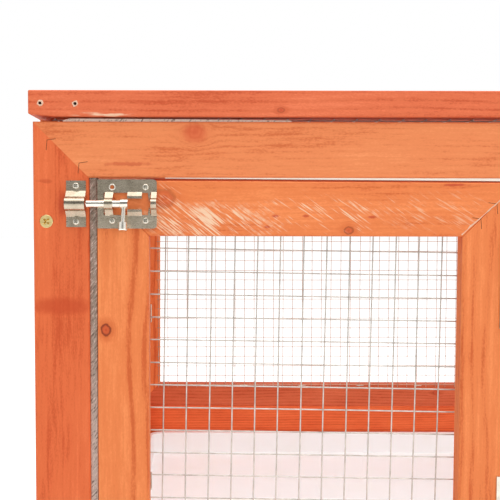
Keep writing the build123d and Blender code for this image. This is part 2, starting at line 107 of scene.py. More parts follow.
class Graph:
    """Adds nodes to one tree and joins them."""

    def __init__(self, tree):
        self.tree = tree

    def put(self, socket, value):
        if isinstance(value, bpy.types.NodeSocket):
            self.tree.links.new(value, socket)
        else:
            socket.default_value = value

    def add(self, kind, values=None, **settings):
        node = self.tree.nodes.new(kind)
        for key, value in settings.items():
            setattr(node, key, value)
        for socket, value in (values or {}).items():
            self.put(node.inputs[socket], value)
        return node

    def maths(self, operation, *values, clamp=False):
        node = self.add("ShaderNodeMath", operation=operation, use_clamp=clamp)
        for socket, value in zip(node.inputs, values):
            self.put(socket, value)
        return node.outputs[0]

    def vectors(self, operation, *values):
        node = self.add("ShaderNodeVectorMath", operation=operation)
        for socket, value in zip(node.inputs, values):
            self.put(socket, value)
        return node.outputs["Value" if operation in ("LENGTH", "DOT_PRODUCT") else "Vector"]

    def noise(self, place, scale=1.0, detail=2.0, distortion=0.0):
        node = self.add("ShaderNodeTexNoise", {"Vector": place, "Scale": scale, "Detail": detail,
                                               "Distortion": distortion})
        return node.outputs["Fac"]

    def between(self, value, low, high):
        """0 below low, 1 above high, smooth between."""
        node = self.add("ShaderNodeMapRange", {"Value": value, "From Min": low, "From Max": high},
                        interpolation_type="SMOOTHSTEP")
        return node.outputs["Result"]

    def mix(self, share, first, second, blend="MIX"):
        node = self.add("ShaderNodeMix", data_type="RGBA", blend_type=blend)
        for socket, value in ((0, share), (6, first), (7, second)):
            self.put(node.inputs[socket], value)
        return node.outputs[2]

    def group(self, tree, values):
        return self.add("ShaderNodeGroup", values, node_tree=tree).outputs


def new_group(name, inputs, outputs):
    """An empty shader group, with its graph and the sockets of its inputs and outputs."""
    tree = bpy.data.node_groups.new(name, "ShaderNodeTree")
    kinds = {"v": "NodeSocketVector", "f": "NodeSocketFloat"}
    for title, kind in inputs.items():
        tree.interface.new_socket(title, in_out="INPUT", socket_type=kinds[kind])
    for title, kind in outputs.items():
        tree.interface.new_socket(title, in_out="OUTPUT", socket_type=kinds[kind])
    graph = Graph(tree)
    return graph, graph.add("NodeGroupInput").outputs, graph.add("NodeGroupOutput").inputs


def new_material(name):
    """A material with its graph and its Principled shader."""
    material = bpy.data.materials.new(name)
    material.use_nodes = True
    graph = Graph(material.node_tree)
    return material, graph, material.node_tree.nodes["Principled BSDF"].inputs


def tone(red, green, blue):
    """A colour given as it looks on a screen, 0 to 255, turned into linear light."""
    def light(level):
        return level / 255 / 12.92 if level < 11 else ((level / 255 + 0.055) / 1.055) ** 2.4
    return (light(red), light(green), light(blue), 1.0)


# How finely each kind of marking changes along the grain and across it, and the width of a year's ring
GRAIN_STRETCH = {"streak": (7, 420, 420), "fibre": (90, 900, 900), "blotch": (14, 60, 60),
                 "hair": (420, 1000, 1000), "drift": (4.0, 18, 18), "speck": (700, 1300, 1300)}
RING_PITCH = 2.7 * MM
RING_DRIFT = 22.0
LATE_WOOD = 2.5
TRUNK_TAPER = (0.035, 1, 1)
GRAIN_WEIGHT = {"fibre": 0.5, "blotch": 0.8, "speck": 0.35}


def make_grain():
    """Sawn pine, grain along x: Shade is 0.5 on average, lower in late wood and dark streaks."""
    g, use, give = new_group("pine grain", {"Place": "v", "Heart": "v", "Seed": "f", "Rings": "f",
                                            "Streaks": "f", "Hair": "f"}, {"Shade": "f", "Height": "f"})
    away = g.vectors("SCALE", (1.37, 0.71, 0.29))
    g.put(g.tree.nodes[-1].inputs["Scale"], use["Seed"])
    place = g.vectors("ADD", use["Place"], away)

    def stretched(kind, detail, distortion=0.0):
        return g.noise(g.vectors("MULTIPLY", place, GRAIN_STRETCH[kind]), 1.0, detail, distortion)

    drift = stretched("drift", 2.0)
    out = g.vectors("MULTIPLY", g.vectors("SUBTRACT", use["Place"], use["Heart"]), TRUNK_TAPER)
    turns = g.maths("DIVIDE", g.vectors("LENGTH", out), RING_PITCH / (2 * math.pi))
    ring = g.maths("SINE", g.maths("ADD", turns, g.maths("MULTIPLY", drift, RING_DRIFT)))
    ring = g.maths("POWER", g.maths("MULTIPLY_ADD", ring, 0.5, 0.5), LATE_WOOD)
    streak, fibre = stretched("streak", 3.0), stretched("fibre", 2.0)
    blotch, hair = stretched("blotch", 2.0), stretched("hair", 2.0, 1.5)
    speck = stretched("speck", 1.0)
    shade = g.maths("SUBTRACT", 0.5, g.maths("MULTIPLY", ring, use["Rings"]))
    shade = g.maths("MULTIPLY_ADD", g.maths("SUBTRACT", streak, 0.5), use["Streaks"], shade)
    shade = g.maths("MULTIPLY_ADD", g.maths("SUBTRACT", fibre, 0.5), GRAIN_WEIGHT["fibre"], shade)
    shade = g.maths("MULTIPLY_ADD", g.maths("SUBTRACT", blotch, 0.5), GRAIN_WEIGHT["blotch"], shade)
    shade = g.maths("MULTIPLY_ADD", g.maths("SUBTRACT", hair, 0.5), use["Hair"], shade)
    shade = g.maths("MULTIPLY_ADD", g.maths("SUBTRACT", speck, 0.5), GRAIN_WEIGHT["speck"], shade)
    g.put(give["Shade"], g.maths("MULTIPLY_ADD", use["Rings"], 0.3, shade, clamp=True))
    height = g.maths("MULTIPLY_ADD", hair, use["Hair"], g.maths("MULTIPLY", fibre, 0.6))
    g.put(give["Height"], g.maths("MULTIPLY_ADD", ring, -0.25, height))
    return g.tree


def make_knot():
    """A knot in sawn pine: the grain bends round it, and a dark bark ring and a halo mark it."""
    g, use, give = new_group("knot", {"Place": "v", "Centre": "v", "Radius": "f", "Long": "f"},
                             {"Place": "v", "Core": "f", "Bark": "f", "Halo": "f", "Rings": "f"})
    off = g.vectors("SUBTRACT", use["Place"], use["Centre"])
    squeeze = g.add("ShaderNodeCombineXYZ", {"X": g.maths("DIVIDE", 1.0, use["Long"]), "Y": 1.0, "Z": 1.0})
    span = g.vectors("LENGTH", g.vectors("MULTIPLY", off, squeeze.outputs[0]))
    wobble = g.maths("MULTIPLY", g.maths("SUBTRACT", g.noise(use["Place"], 420.0), 0.5), 0.6)
    reach = g.maths("ADD", g.maths("DIVIDE", span, use["Radius"]), wobble)
    g.put(give["Core"], g.maths("SUBTRACT", 1.0, g.between(reach, 0.55, 1.05)))
    g.put(give["Bark"], g.maths("SUBTRACT", 1.0, g.between(
        g.maths("ABSOLUTE", g.maths("SUBTRACT", reach, 0.95)), 0.05, 0.3)))
    halo = g.maths("SUBTRACT", 1.0, g.between(reach, 0.9, 3.0))
    g.put(give["Halo"], halo)
    g.put(give["Rings"], g.maths("MULTIPLY_ADD", g.maths("SINE", g.maths("MULTIPLY", reach, 11.0)), 0.5, 0.5))
    bend = g.vectors("SCALE", g.vectors("MULTIPLY", off, (0, 1, 1)))
    g.put(g.tree.nodes[-1].inputs["Scale"], g.maths("MULTIPLY", halo, -0.72))
    g.put(give["Place"], g.vectors("ADD", use["Place"], bend))
    return g.tree


def make_patch():
    """A soft patch with a ragged edge, for stains, smears, rubbed places and a painted shadow."""
    g, use, give = new_group("patch", {"Place": "v", "Centre": "v", "Half": "v", "Ragged": "f"}, {"Mask": "f"})
    off = g.vectors("DIVIDE", g.vectors("SUBTRACT", use["Place"], use["Centre"]), use["Half"])
    rough = g.maths("SUBTRACT", g.noise(use["Place"], 300.0, 3.0), 0.5)
    reach = g.maths("MULTIPLY_ADD", rough, use["Ragged"], g.vectors("LENGTH", off))
    g.put(give["Mask"], g.maths("SUBTRACT", 1.0, g.between(reach, 0.35, 1.0)))
    return g.tree


SCUFF_LINES, SCUFF_CLUMPS = (75, 300, 1150), (60, 60, 95)


def make_scuffs():
    """Torn fibres in slanting rows on a front face, as a saw or a coarse belt leaves them."""
    g, use, give = new_group("scuffs", {"Place": "v", "Slant": "f", "Amount": "f"}, {"Mask": "f"})
    turned = g.add("ShaderNodeVectorRotate", {"Vector": use["Place"], "Angle": use["Slant"]},
                   rotation_type="Y_AXIS").outputs[0]
    lines = g.noise(g.vectors("MULTIPLY", turned, SCUFF_LINES), 1.0, 2.0)
    clumps = g.noise(g.vectors("MULTIPLY", turned, SCUFF_CLUMPS), 1.0, 2.0)
    level = g.maths("SUBTRACT", g.maths("MULTIPLY_ADD", clumps, 0.45, lines),
                    g.maths("MULTIPLY", g.maths("SUBTRACT", 1.0, use["Amount"]), 0.3))
    g.put(give["Mask"], g.between(level, 0.72, 0.86))
    return g.tree


def make_arris():
    """1 in patches on the narrow faces between two sides of a square bar; the pale edges it marks are wear and
    a painted highlight.
    """
    g, use, give = new_group("arris", {"Normal": "v", "Place": "v"}, {"Mask": "f"})
    parts = g.add("ShaderNodeSeparateXYZ", {"Vector": g.vectors("ABSOLUTE", use["Normal"])}).outputs
    most = g.maths("MAXIMUM", g.maths("MAXIMUM", parts[0], parts[1]), parts[2])
    edge = g.maths("SUBTRACT", 1.0, g.between(most, 0.88, 0.99))
    wear_and_highlight = g.between(g.noise(use["Place"], 160.0, 3.0), 0.35, 0.7)
    g.put(give["Mask"], g.maths("MULTIPLY", edge, wear_and_highlight))
    return g.tree


CLOUD_SCALE, RUB_STRETCH = 210.0, (380, 1500, 2600)


def make_tarnish():
    """Cloudy tarnish and fine rubbing marks on sheet metal."""
    g, use, give = new_group("tarnish", {"Place": "v", "Seed": "f"}, {"Cloud": "f", "Rub": "f"})
    away = g.vectors("SCALE", (0.31, 0.17, 0.53))
    g.put(g.tree.nodes[-1].inputs["Scale"], use["Seed"])
    place = g.vectors("ADD", use["Place"], away)
    g.put(give["Cloud"], g.between(g.noise(place, CLOUD_SCALE, 4.0), 0.3, 0.75))
    g.put(give["Rub"], g.noise(g.vectors("MULTIPLY", place, RUB_STRETCH), 1.0, 2.0))
    return g.tree


GRAIN, KNOT, PATCH, SCUFFS = make_grain(), make_knot(), make_patch(), make_scuffs()
ARRIS, TARNISH = make_arris(), make_tarnish()

PALE_WOOD = tone(252, 214, 180)
DEEP_RED = tone(196, 66, 38)
KNOT_BROWN = tone(120, 40, 26)
# What late wood and pale wood do to the red, green and blue of a stain
DARKER, PALER = (0.78, 0.56, 0.46), (1.12, 1.3, 1.45)
STAIN_TONES = {
    "golden": tone(241, 142, 88),
    "orange": tone(240, 134, 76),
    "red": tone(233, 113, 64),
    "brick": tone(231, 116, 74),
    # shaded_brown is darker than the lit stains: painted shade for the rear rails, which stand in shadow at
    # the back
    "shaded_brown": tone(212, 100, 62),
    "ember": tone(232, 104, 54),
}


AXIS_ORDER = {"X": (0, 1, 2), "Y": (1, 2, 0), "Z": (2, 0, 1)}


def along_grain(point, axis):
    """A point with the bar's long axis first."""
    return Vector([point[k] for k in AXIS_ORDER[axis]])


def stained_wood(name, axis, colour, heart, seed=0.0, rings=0.35, streaks=0.45, hair=0.12,
                 knots=(), stains_and_shade=(), scuffs=(), wear_and_highlight=0.5):
    """Pine under a thin orange stain.

    knots are (centre, radius, length to width, darkness), stains_and_shade are stains and painted shadows as
    (centre, half sizes, colour, strength, raggedness), and scuffs are (centre, half sizes, slant, amount,
    strength)."""
    material, g, shader = new_material(name)
    coordinates = g.add("ShaderNodeTexCoord").outputs
    whole = coordinates["Object"]
    parts = g.add("ShaderNodeSeparateXYZ", {"Vector": whole}).outputs
    place = g.add("ShaderNodeCombineXYZ", {i: parts[k] for i, k in enumerate(AXIS_ORDER[axis])}).outputs[0]
    marks = []
    for centre, radius, long, dark in knots:
        knot = g.group(KNOT, {"Place": place, "Centre": along_grain(centre, axis), "Radius": radius,
                              "Long": long})
        place = knot["Place"]
        marks.append((knot, dark))
    grain = g.group(GRAIN, {"Place": place, "Heart": along_grain(heart, axis), "Seed": seed, "Rings": rings,
                            "Streaks": streaks, "Hair": hair})
    dark = (*(c * k for c, k in zip(colour, DARKER)), 1.0)
    light = (*(min(c * k, 1.0) for c, k in zip(colour, PALER)), 1.0)
    shown = g.mix(g.between(grain["Shade"], 0.12, 0.5), dark, colour)
    shown = g.mix(g.between(grain["Shade"], 0.5, 0.88), shown, light)
    for knot, depth in marks:
        shown = g.mix(g.maths("MULTIPLY", knot["Halo"], 0.55 * depth), shown, dark)
        core = g.maths("MULTIPLY_ADD", knot["Rings"], 0.3, 0.35 * depth)
        shown = g.mix(g.maths("MULTIPLY", knot["Core"], core), shown, DEEP_RED)
        shown = g.mix(g.maths("MULTIPLY", knot["Bark"], 0.85 * max(depth - 0.3, 0)), shown, KNOT_BROWN)
    # Stains, and patches of painted shadow, laid over the grain
    for centre, half, stain, strength, ragged in stains_and_shade:
        mask = g.group(PATCH, {"Place": whole, "Centre": centre, "Half": half, "Ragged": ragged})["Mask"]
        shown = g.mix(g.maths("MULTIPLY", mask, strength), shown, stain)
    for centre, half, slant, amount, strength in scuffs:
        zone = g.group(PATCH, {"Place": whole, "Centre": centre, "Half": half, "Ragged": 0.9})["Mask"]
        torn = g.group(SCUFFS, {"Place": whole, "Slant": slant, "Amount": amount})["Mask"]
        shown = g.mix(g.maths("MULTIPLY", g.maths("MULTIPLY", zone, torn), strength), shown, PALE_WOOD)
    # Pale arrises: partly wear, partly a painted highlight along the edges
    edge = g.group(ARRIS, {"Normal": coordinates["Normal"], "Place": whole})["Mask"]
    shown = g.mix(g.maths("MULTIPLY", edge, wear_and_highlight), shown, light)
    g.put(shader["Base Color"], shown)
    g.put(shader["Roughness"], g.maths("MULTIPLY_ADD", grain["Shade"], 0.2, 0.52))
    shader["Specular IOR Level"].default_value = 0.25
    bump = g.add("ShaderNodeBump", {"Strength": 0.35, "Distance": 0.25 * MM, "Height": grain["Height"]})
    g.put(shader["Normal"], bump.outputs[0])
    return material


def bare_metal(name, colour, cloud_colour, roughness, seed=0.0, bump=0.15):
    """Plated or galvanised steel with light tarnish."""
    material, g, shader = new_material(name)
    place = g.add("ShaderNodeTexCoord").outputs["Object"]
    marks = g.group(TARNISH, {"Place": place, "Seed": seed})
    g.put(shader["Base Color"], g.mix(marks["Cloud"], colour, cloud_colour))
    shader["Metallic"].default_value = 1.0
    g.put(shader["Roughness"], g.maths("MULTIPLY_ADD", marks["Rub"], 0.16, roughness))
    relief = g.add("ShaderNodeBump", {"Strength": bump, "Distance": 0.1 * MM, "Height": marks["Rub"]})
    g.put(shader["Normal"], relief.outputs[0])
    return material


def moulded_plastic(name, colour):
    """Matt white plastic with a fine moulded texture and faint marks of use."""
    material, g, shader = new_material(name)
    place = g.add("ShaderNodeTexCoord").outputs["Object"]
    cloud = g.between(g.noise(place, 24.0, 4.0), 0.45, 0.8)
    red, green, blue, _ = colour
    g.put(shader["Base Color"], g.mix(cloud, colour, (red * 0.97, green * 0.96, blue * 0.94, 1.0)))
    g.put(shader["Roughness"], g.maths("MULTIPLY_ADD", cloud, 0.15, 0.42))
    relief = g.add("ShaderNodeBump", {"Strength": 0.2, "Distance": 0.1 * MM, "Height": g.noise(place, 1800.0)})
    g.put(shader["Normal"], relief.outputs[0])
    return material


def raw_wood(name, colour, dark):
    """Torn or bare wood fibres."""
    material, g, shader = new_material(name)
    place = g.add("ShaderNodeTexCoord").outputs["Object"]
    g.put(shader["Base Color"], g.mix(g.noise(place, 900.0, 3.0), colour, dark))
    shader["Roughness"].default_value = 0.8
    return material


WIRE = bare_metal("galvanised wire", tone(206, 200, 192), tone(176, 170, 162), 0.3, 1.0)
# The rear net's wire is tinted warm pink: painted orange bounce light from the stained wood
BOUNCE_TINTED_WIRE = bare_metal("wire with painted bounce", tone(214, 182, 164), tone(196, 160, 142), 0.5, 7.0)
BOLT = bare_metal("bolt steel", tone(196, 184, 164), tone(172, 160, 140), 0.2, 2.0)
ROD = bare_metal("bright rod", tone(240, 236, 226), tone(222, 216, 202), 0.13, 3.0)
HINGE = bare_metal("hinge steel", tone(222, 217, 204), tone(196, 190, 176), 0.24, 4.0)
YELLOW = bare_metal("yellow zinc", tone(252, 232, 168), tone(226, 200, 130), 0.3, 5.0)
DARK = bare_metal("nail steel", tone(70, 52, 44), tone(44, 34, 30), 0.5, 6.0)
TRAY = moulded_plastic("tray plastic", tone(252, 254, 255))
PALE_CREAM = raw_wood("bare wood", tone(255, 250, 240), tone(250, 232, 212))
TORN = raw_wood("torn wood", tone(250, 222, 198), tone(226, 168, 130))


def grey_felt(name, upper, lower, low, high):
    """Felt with slanting fibres, of the upper tone above high and of the lower tone below low."""
    material, g, shader = new_material(name)
    place = g.add("ShaderNodeTexCoord").outputs["Object"]
    turned = g.add("ShaderNodeVectorRotate", {"Vector": place, "Angle": math.radians(55)},
                   rotation_type="Y_AXIS").outputs[0]
    fibres = g.noise(g.vectors("MULTIPLY", turned, (350, 900, 1500)), 1.0, 2.0, 0.6)
    height = g.add("ShaderNodeSeparateXYZ", {"Vector": place}).outputs[2]
    body = g.mix(g.between(height, low, high), lower, upper)
    shown = g.mix(g.between(fibres, 0.52, 0.7), body, tone(226, 218, 208))
    g.put(shader["Base Color"], g.mix(g.between(fibres, 0.46, 0.3), shown, tone(118, 110, 98)))
    shader["Roughness"].default_value = 0.9
    relief = g.add("ShaderNodeBump", {"Strength": 0.5, "Distance": 0.3 * MM, "Height": fibres})
    g.put(shader["Normal"], relief.outputs[0])
    return material


FELT = grey_felt("grey felt", tone(168, 158, 143), tone(204, 196, 186), 0.2, 0.29)
PALE_FELT = grey_felt("pale felt", tone(226, 212, 196), tone(226, 212, 196), 0.2, 0.29)


def new_piece(name, mesh, body, material, smooth=None):
    """Turns a bmesh into a piece that rides on a body."""
    data = bpy.data.meshes.new(name)
    bmesh.ops.recalc_face_normals(mesh, faces=mesh.faces[:])
    mesh.to_mesh(data)
    mesh.free()
    piece = bpy.data.objects.new(name, data)
    bpy.context.scene.collection.objects.link(piece)
    data.materials.append(material)
    if smooth is not None:
        for face in data.polygons:
            face.use_smooth = True
        data.set_sharp_from_angle(angle=math.radians(smooth))
    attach(piece, body)
    return piece


def wire_along(mesh, points, side, up, radius, sides=6):
    """A round wire through points, its section spanned by side and up."""
    rings = []
    for point in points:
        turn = [2 * math.pi * k / sides for k in range(sides)]
        rings.append([mesh.verts.new(point + side * (radius * math.cos(a)) + up * (radius * math.sin(a)))
                      for a in turn])
    for a, b in zip(rings, rings[1:]):
        for k in range(sides):
            mesh.faces.new((a[k], a[(k + 1) % sides], b[(k + 1) % sides], b[k]))
    mesh.faces.new(rings[0][::-1])
    mesh.faces.new(rings[-1])


def lathe(mesh, centre, axis, across, profile, sides):
    """A surface of revolution from a profile of (radius, height); returns its rings of corners."""
    other = axis.cross(across)
    rings = []
    for radius, height in profile:
        ring = [mesh.verts.new(centre + axis * height + across * (radius * math.cos(a)) +
                               other * (radius * math.sin(a)))
                for a in (2 * math.pi * k / sides for k in range(sides))]
        rings.append(ring)
    for a, b in zip(rings, rings[1:]):
        for k in range(sides):
            mesh.faces.new((a[k], a[(k + 1) % sides], b[(k + 1) % sides], b[k]))
    return rings


DOOR_WIRE_R = 0.38 * MM
WALL_WIRE_R = 0.36 * MM
PITCH = 12.7 * MM
DOOR_PITCH = 12.8 * MM
WANDER = 0.28 * MM
DOOR_NET_TURN = math.radians(-0.75)
DOOR_NET_LIFT, WALL_NET_LIFT, LID_NET_DROP = 0.7 * MM, 0.2 * MM, 0.1 * MM


def wander(wire, t, salt):
    """How far a wire strays from its straight line at t along it."""
    return WANDER * noise.noise(Vector((wire * 3.71 + salt, t * 9.0, salt * 1.3)))


def welded_net(name, body, centre, right, up, width, height, crossing, turn=0.0, pitch=PITCH,
               radius=WALL_WIRE_R, salt=0.0, material=WIRE):
    """A net of crossed wires welded where they meet, right and up spanning it.

    crossing is one weld, measured from the centre, and turn is how far the net sits askew."""
    out = right.cross(up)
    spin = Matrix.Rotation(turn, 3, out)
    side, rise = spin @ right, spin @ up
    first = (crossing.dot(side), crossing.dot(rise))
    mesh = bmesh.new()
    for along, across, length, breadth, start, lift in (
        (rise, side, height, width, first[0], 0.5), (side, rise, width, height, first[1], -0.5),
    ):
        low = math.ceil((-breadth / 2 + radius - start) / pitch)
        high = math.floor((breadth / 2 - radius - start) / pitch)
        steps = max(2, round(length / pitch))
        for k in range(low, high + 1):
            base = centre + across * (start + k * pitch) + out * (lift * 1.5 * radius)
            points = []
            for i in range(steps + 1):
                t = length * (i / steps - 0.5)
                points.append(base + along * t + across * wander(k, t, salt + lift) +
                              out * wander(k, t, salt + lift + 7.0) * 0.6)
            wire_along(mesh, points, across, out, radius)
    return new_piece(name, mesh, body, material, smooth=70)


def make_nets():
    """Each net lies on the inner faces of its bars, the door's a little askew."""
    lo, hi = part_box("door_net")
    plane = DOOR_BACK + DOOR_NET_LIFT
    middle = Vector(((lo.x + hi.x) / 2, plane, (lo.z + hi.z) / 2))
    net = welded_net("door_wire_net", "door", middle, X, Z, hi.x - lo.x, hi.z - lo.z,
                     at_pixel(*DOOR_WELD_PX, plane) - middle, DOOR_NET_TURN, DOOR_PITCH, DOOR_WIRE_R, 3.0)
    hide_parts("door_net")
    for wall, right, inward, crossing, turn in (
        ("front", X, Y, (2.0, 1.0), 0.2), ("rear", -X, -Y, (3.0, 4.0), -0.15),
        ("left", -Y, X, (1.0, 5.0), 0.25), ("right", Y, -X, (0.0, 2.5), -0.2),
    ):
        lo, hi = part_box(f"{wall}_net")
        size = hi - lo
        middle = (lo + hi) / 2 + inward * WALL_NET_LIFT
        weld = (right * crossing[0] + Z * crossing[1]) * MM
        breadth = size.dot(Vector(map(abs, right)))
        # The rear net takes the warm pink wire, which paints the orange glow of light bounced off the wood
        net = welded_net(f"{wall}_wire_net", "root", middle, right, Z, breadth, size.z, weld,
                         math.radians(turn), salt=len(wall) + crossing[0],
                         material=BOUNCE_TINTED_WIRE if wall == "rear" else WIRE)
        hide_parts(f"{wall}_net")
    lo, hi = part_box("lid_net")
    size = hi - lo
    middle = (lo + hi) / 2 - Z * LID_NET_DROP
    net = welded_net("lid_wire_net", "lid", middle, X, Y, size.x, size.y, (X * 4.6 + Y * 3.0) * MM,
                     math.radians(0.15), radius=DOOR_WIRE_R, salt=9.0)
    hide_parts("lid_net")


STAPLE_STEP = 76 * MM
STAPLE_FROM_EDGE = 2.2 * MM
STAPLE_PROUD = 0.5 * MM
STAPLE_HALF, STAPLE_SHOULDER, STAPLE_LEG, STAPLE_R = 5.0 * MM, 4.5 * MM, 1.4 * MM, 0.4 * MM


def make_staples():
    """Staples along the inner faces of the bars, over the nets' edges."""
    for name, body, node, right, up, out in (
        ("front_net_staples", "root", "front_net", X, Z, Y),
        ("rear_net_staples", "root", "rear_net", -X, Z, -Y),
        ("left_net_staples", "root", "left_net", -Y, Z, X),
        ("right_net_staples", "root", "right_net", Y, Z, -X),
        ("door_net_staples", "door", "door_net", X, Z, Y),
    ):
        lo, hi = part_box(node)
        middle, half = (lo + hi) / 2, (hi - lo) / 2
        wide, tall, deep = (half.dot(Vector(map(abs, v))) for v in (right, up, out))
        places = []
        for reach, other, along, across in ((wide, tall, right, up), (tall, wide, up, right)):
            count = max(2, int(2 * reach / STAPLE_STEP))
            for k in range(count):
                t = (2 * (k + 0.5) / count - 1) * reach
                places += [(middle + along * t + across * (s * (other - STAPLE_FROM_EDGE)), along)
                           for s in (1, -1)]
        mesh = bmesh.new()
        for place, along in places:
            crown(mesh, place + out * (deep + STAPLE_PROUD), along, out)
        new_piece(name, mesh, body, HINGE, smooth=60)


def crown(mesh, place, along, out):
    """One staple: a flat crown with two bent shoulders that go down to the wood."""
    end, shoulder, leg = along * STAPLE_HALF, along * STAPLE_SHOULDER, out * STAPLE_LEG
    points = [place - end - leg, place - shoulder, place + shoulder, place + end - leg]
    wire_along(mesh, points, out, along.cross(out), STAPLE_R)


HEAD_SIDES = 28
RECESS_ARM, RECESS_HALF, RECESS_DEPTH, RECESS_DRAW_IN = 0.56, 0.13, 0.5, 0.45
TIP_R = 0.15 * MM
FLUSH_SCREW = dict(radius=3.55 * MM, rise=0.0, dome=0.0, length=25 * MM, shank=1.8 * MM, point=3 * MM)
PAN_SCREW = dict(radius=1.8 * MM, rise=0.5 * MM, dome=0.3 * MM, length=8 * MM, shank=1.0 * MM, point=2 * MM)
PAN_SEAT = 0.8 * MM


def cross_screw(mesh, place, out, spin, radius, rise, dome, length, shank, point):
    """A cross-head screw on place, pointing against out, with its recess cut into the head.

    rise is the height of the rim's top and dome how much higher the crown stands."""
    across = (X if abs(out.x) < 0.5 else Z).copy()
    across.rotate(Matrix.Rotation(spin, 3, out))
    other = out.cross(across)
    top = rise + dome
    profile = [(shank, 0.0), (radius * 0.96, 0.0), (radius, rise * 0.35), (radius * 0.97, rise * 0.8),
               (radius * 0.84, rise + dome * 0.45), (radius * 0.7, top)]
    if rise == 0:
        profile = [(shank, shank - radius), (radius * 0.99, -0.08 * MM), (radius * 0.96, 0.0),
                   (radius * 0.9, 0.0)]
        top = 0.0
    rings = lathe(mesh, place, out, across, profile, HEAD_SIDES)
    arm, half = radius * RECESS_ARM, radius * RECESS_HALF
    plan = []
    for quarter in range(4):
        c, s = math.cos(quarter * math.pi / 2), math.sin(quarter * math.pi / 2)
        for u, v in ((arm, -half), (arm, half), (half * 1.25, half * 1.25)):
            plan.append((u * c - v * s, u * s + v * c))
    rim = [mesh.verts.new(place + out * top + across * u + other * v) for u, v in plan]
    edges = [mesh.edges.new((rim[k], rim[(k + 1) % len(rim)])) for k in range(len(rim))]
    crown = rings[-1]
    outer = [mesh.edges.get((crown[k], crown[(k + 1) % HEAD_SIDES])) for k in range(HEAD_SIDES)]
    bmesh.ops.triangle_fill(mesh, edges=edges + outer, use_beauty=True, normal=out)
    bottom = place + out * (top - radius * RECESS_DEPTH)
    deep = [mesh.verts.new(bottom + across * u * RECESS_DRAW_IN + other * v * RECESS_DRAW_IN) for u, v in plan]
    for k in range(len(rim)):
        n = (k + 1) % len(rim)
        mesh.faces.new((rim[k], rim[n], deep[n], deep[k]))
    mesh.faces.new(deep)
    lowest = rings[0]
    tip = lathe(mesh, place, out, across, [(shank, point - length), (TIP_R, -length)], HEAD_SIDES)
    for k in range(HEAD_SIDES):
        n = (k + 1) % HEAD_SIDES
        mesh.faces.new((lowest[k], tip[0][k], tip[0][n], lowest[n]))
    mesh.faces.new(tip[1])


def screw_places(node, out):
    """The middles of the separate screws in a node, at the level of their heads' outer faces."""
    mesh = bmesh.new()
    mesh.from_mesh(nodes[node].data)
    bmesh.ops.remove_doubles(mesh, verts=mesh.verts[:], dist=0.01 * MM)
    seen, middles = set(), []
    for vert in mesh.verts:
        if vert.index in seen:
            continue
        stack, island = [vert], []
        seen.add(vert.index)
        while stack:
            v = stack.pop()
            island.append(v.co.copy())
            for edge in v.link_edges:
                w = edge.other_vert(v)
                if w.index not in seen:
                    seen.add(w.index)
                    stack.append(w)
        face = max(c.dot(out) for c in island)
        middle = Vector([sum((max(c[k] for c in island), min(c[k] for c in island))) / 2 for k in range(3)])
        middles.append(middle + out * (face - middle.dot(out)))
    mesh.free()
    return sorted(middles, key=lambda p: (round(p.x, 4), round(p.z, 4)))


def make_screws():
    """Pan heads on the fittings and flush countersunk heads in the frames."""
    turns = random.Random(11)
    for node, body, out, material, slot in (
        ("keeper_screws", "root", -Y, HINGE, "hinge_steel"),
        ("bolt_screws", "door", -Y, HINGE, "hinge_steel"),
        ("post_hinge_screws", "root", -Y, HINGE, "hinge_steel"),
        ("door_hinge_screws", "door", -Y, HINGE, "hinge_steel"),
        ("rear_hinge_screws", "root", Y, HINGE, "hinge_steel"),
        ("lid_hinge_screws", "lid", Y, HINGE, "hinge_steel"),
        ("frame_screws", "root", -Y, YELLOW, "yellow_zinc"),
        ("rear_frame_screws", "root", Y, YELLOW, "yellow_zinc"),
    ):
        mesh = bmesh.new()
        kind, seat = (FLUSH_SCREW, 0.0) if material is YELLOW else (PAN_SCREW, PAN_SEAT)
        for place in screw_places(node, out):
            cross_screw(mesh, place - out * seat, out, turns.uniform(0.1, 1.4), **kind)
        piece = new_piece(node.replace("screws", "cross_screws"), mesh, body, material, smooth=35)
        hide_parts(node)


# Profiles of (radius, height) in millimetres
NAIL_HEAD = ((0.85, 0.08), (0.8, -0.1), (0.45, -0.22))
NAIL_RIM = ((0.85, 0.0), (0.95, 0.14), (1.25, 0.16), (1.7, 0.02))
HOLE_LIP = ((1.15, -0.3), (1.2, 0.12), (1.45, 0.24), (1.75, 0.14), (1.85, -0.05))
NAIL_EDGE = 3 * MM
NAIL_PAIR_HALF = 8 * MM
RIM_RAGGED = 0.28


def in_mm(profile):
    return [(radius * MM, height * MM) for radius, height in profile]


def make_nails():
    """Sunk nails where the lid's front and rear rails meet its cross rails."""
    heads, lips = bmesh.new(), bmesh.new()
    rows = random.Random(4)
    first, second = (at_pixel(*spot, LID_FRONT) for spot in LID_NAILS_PX)
    middle = sum(v.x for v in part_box("lid_middle_rail")) / 2
    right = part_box("lid_right_rail")[1].x
    xs = [first.x, second.x, middle - NAIL_PAIR_HALF, middle + NAIL_PAIR_HALF, -first.x - 1 * MM, -second.x]
    for face, out in ((LID_FRONT, -Y), (REAR, Y)):
        for k, x in enumerate(xs):
            z = (first.z, second.z)[k % 2] + (0 if k < 2 and out.y < 0 else rows.uniform(-1.5, 1.5) * MM)
            place = Vector((min(max(x, -right + NAIL_EDGE), right - NAIL_EDGE), face, z))
            rings = lathe(heads, place, out, X, in_mm(NAIL_HEAD), 14)
            heads.faces.new(rings[-1])
            heads.faces.new(rings[0][::-1])
            rings = lathe(lips, place, out, X, in_mm(NAIL_RIM), 18)
            for loop in rings[1:]:
                for corner in loop:
                    corner.co += (corner.co - place).normalized() * rows.uniform(-RIM_RAGGED, RIM_RAGGED) * MM
    new_piece("lid_nail_heads", heads, "lid", DARK)
    new_piece("lid_nail_rims", lips, "lid", TORN, smooth=50)


WEDGE_ARMS = (Vector((4.6, 0, 0.7)), Vector((-0.5, 0, -5.4)))
WEDGE_R, WEDGE_SUNK = 0.17 * MM, 0.1 * MM


